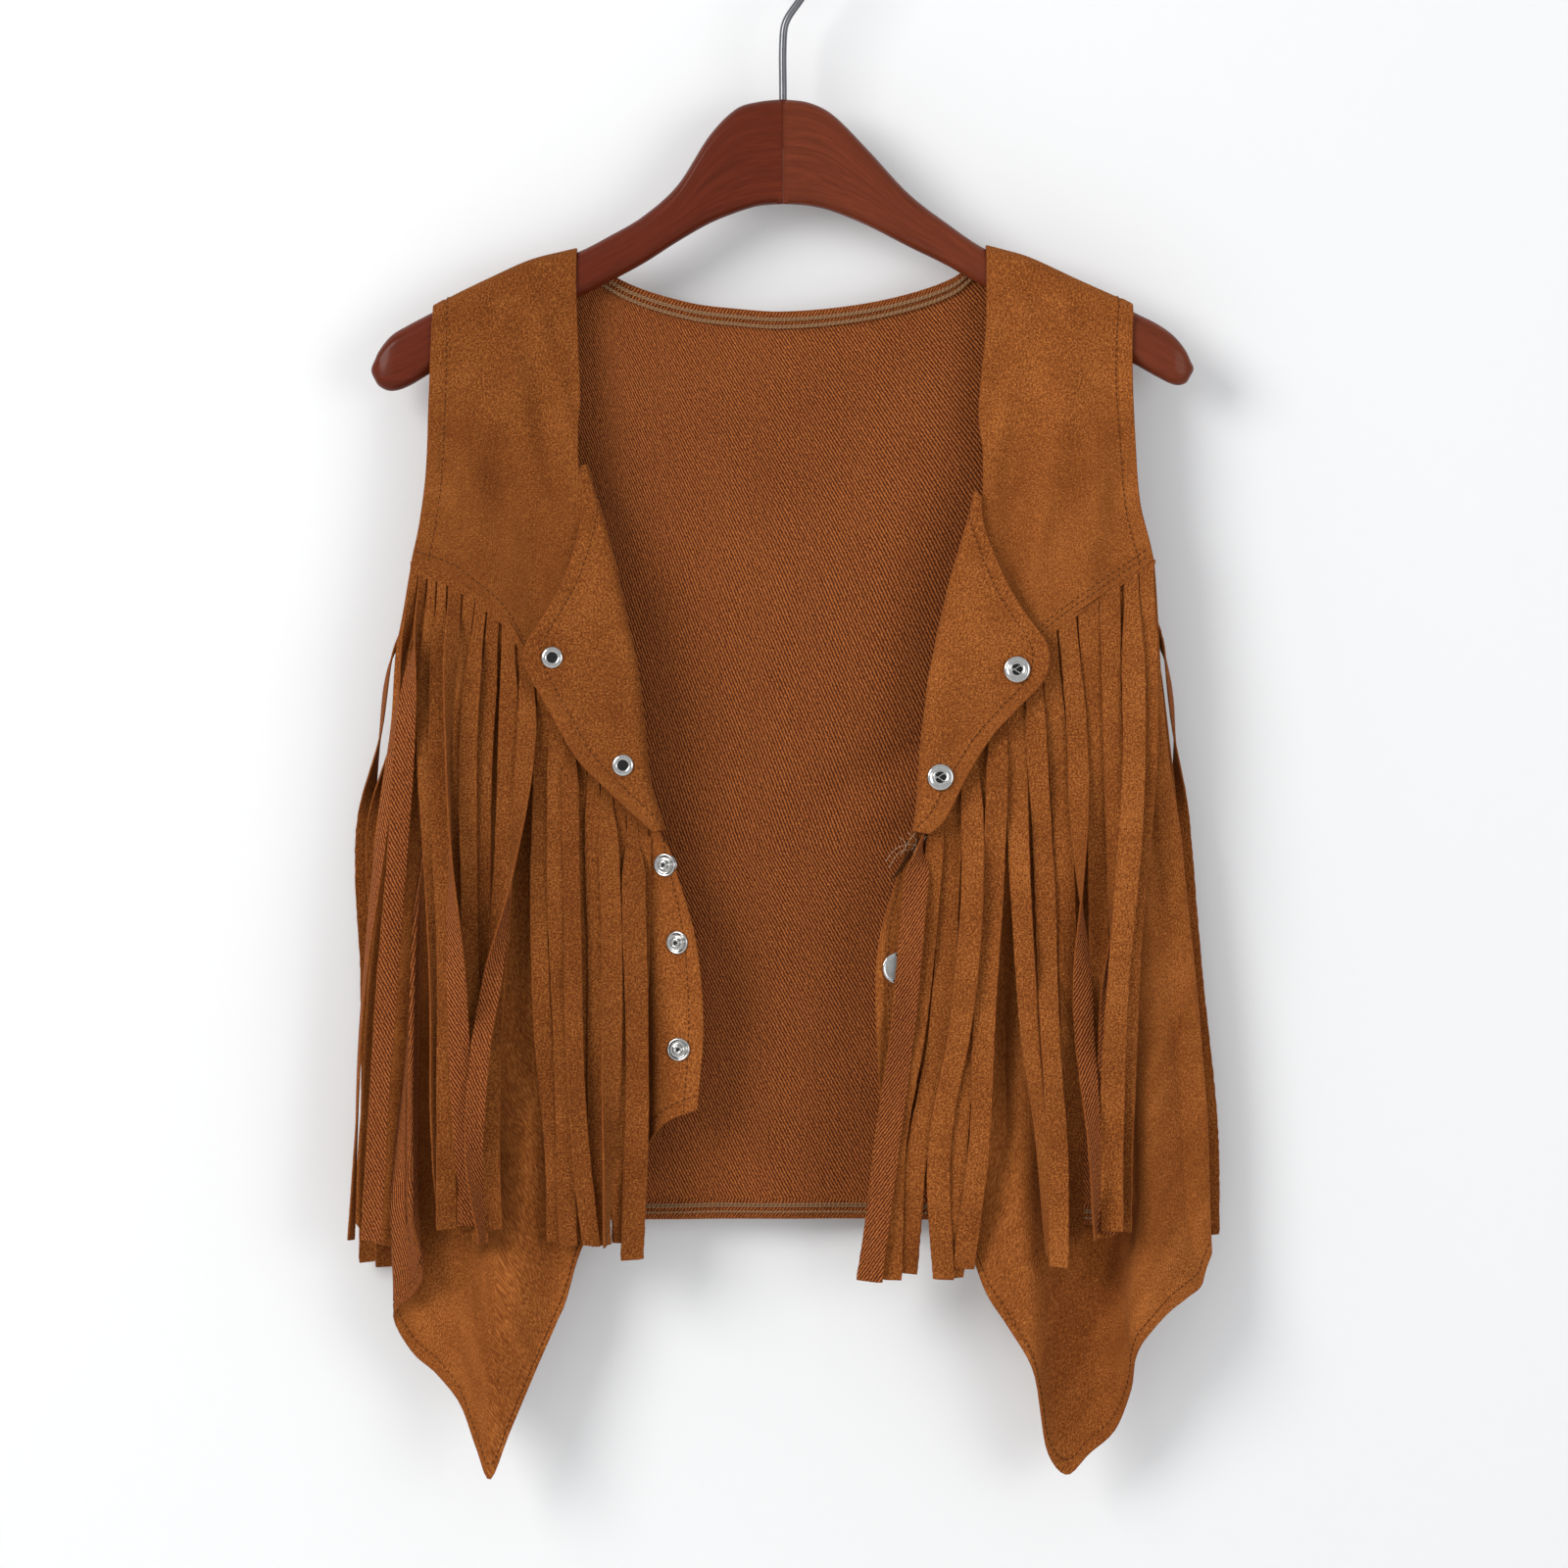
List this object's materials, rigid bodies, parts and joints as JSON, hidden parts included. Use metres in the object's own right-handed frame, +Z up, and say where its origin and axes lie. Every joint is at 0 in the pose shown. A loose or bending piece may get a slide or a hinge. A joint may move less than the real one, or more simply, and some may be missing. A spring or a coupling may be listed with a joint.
{
  "type": "fringe vest on a wooden clothes hanger",
  "caption": "Cropped open-front suede vest with a pointed hem, turned-out front edges, snaps and long fringe from both front yokes, hung on a flat wooden hanger with a steel hook.",
  "frame": {"origin": "inside top of the hook, where it rests on its rail", "axes": "+Z up, +X to the right of someone who looks at the open front, the front faces -Y"},
  "size_m": [0.4263, 0.0645, 0.7658],
  "materials": {
    "suede": "napped suede, tan, with a darker woven reverse",
    "wood": "dark cherry, gloss lacquer",
    "snap_steel": "polished",
    "hook_steel": "dark polished rod"
  },
  "bodies": {
    "root": {"back_panel": "suede", "fringe_armhole_left": "suede", "fringe_armhole_right": "suede", "fringe_left": "suede", "fringe_right": "suede", "front_yoke_left": "suede", "front_yoke_right": "suede", "hanger_arm_left": "wood", "hanger_arm_right": "wood", "hanger_hook": "hook_steel", "lapel_left": "suede", "lapel_right": "suede", "lower_front_left": "suede", "lower_front_right": "suede", "snap_left_1_ring": "snap_steel", "snap_left_1_stud": "snap_steel", "snap_left_2_ring": "snap_steel", "snap_left_2_stud": "snap_steel", "snap_left_3_ring": "snap_steel", "snap_left_3_stud": "snap_steel", "snap_left_4_ring": "snap_steel", "snap_left_4_stud": "snap_steel", "snap_left_5_ring": "snap_steel", "snap_left_5_stud": "snap_steel", "snap_right_1_cap": "snap_steel", "snap_right_1_socket": "snap_steel", "snap_right_2_cap": "snap_steel", "snap_right_2_socket": "snap_steel", "snap_right_3_cap": "snap_steel", "snap_right_3_socket": "snap_steel", "snap_right_4_cap": "snap_steel", "snap_right_4_socket": "snap_steel", "snap_right_5_cap": "snap_steel", "snap_right_5_socket": "snap_steel"}
  },
  "joints": []
}
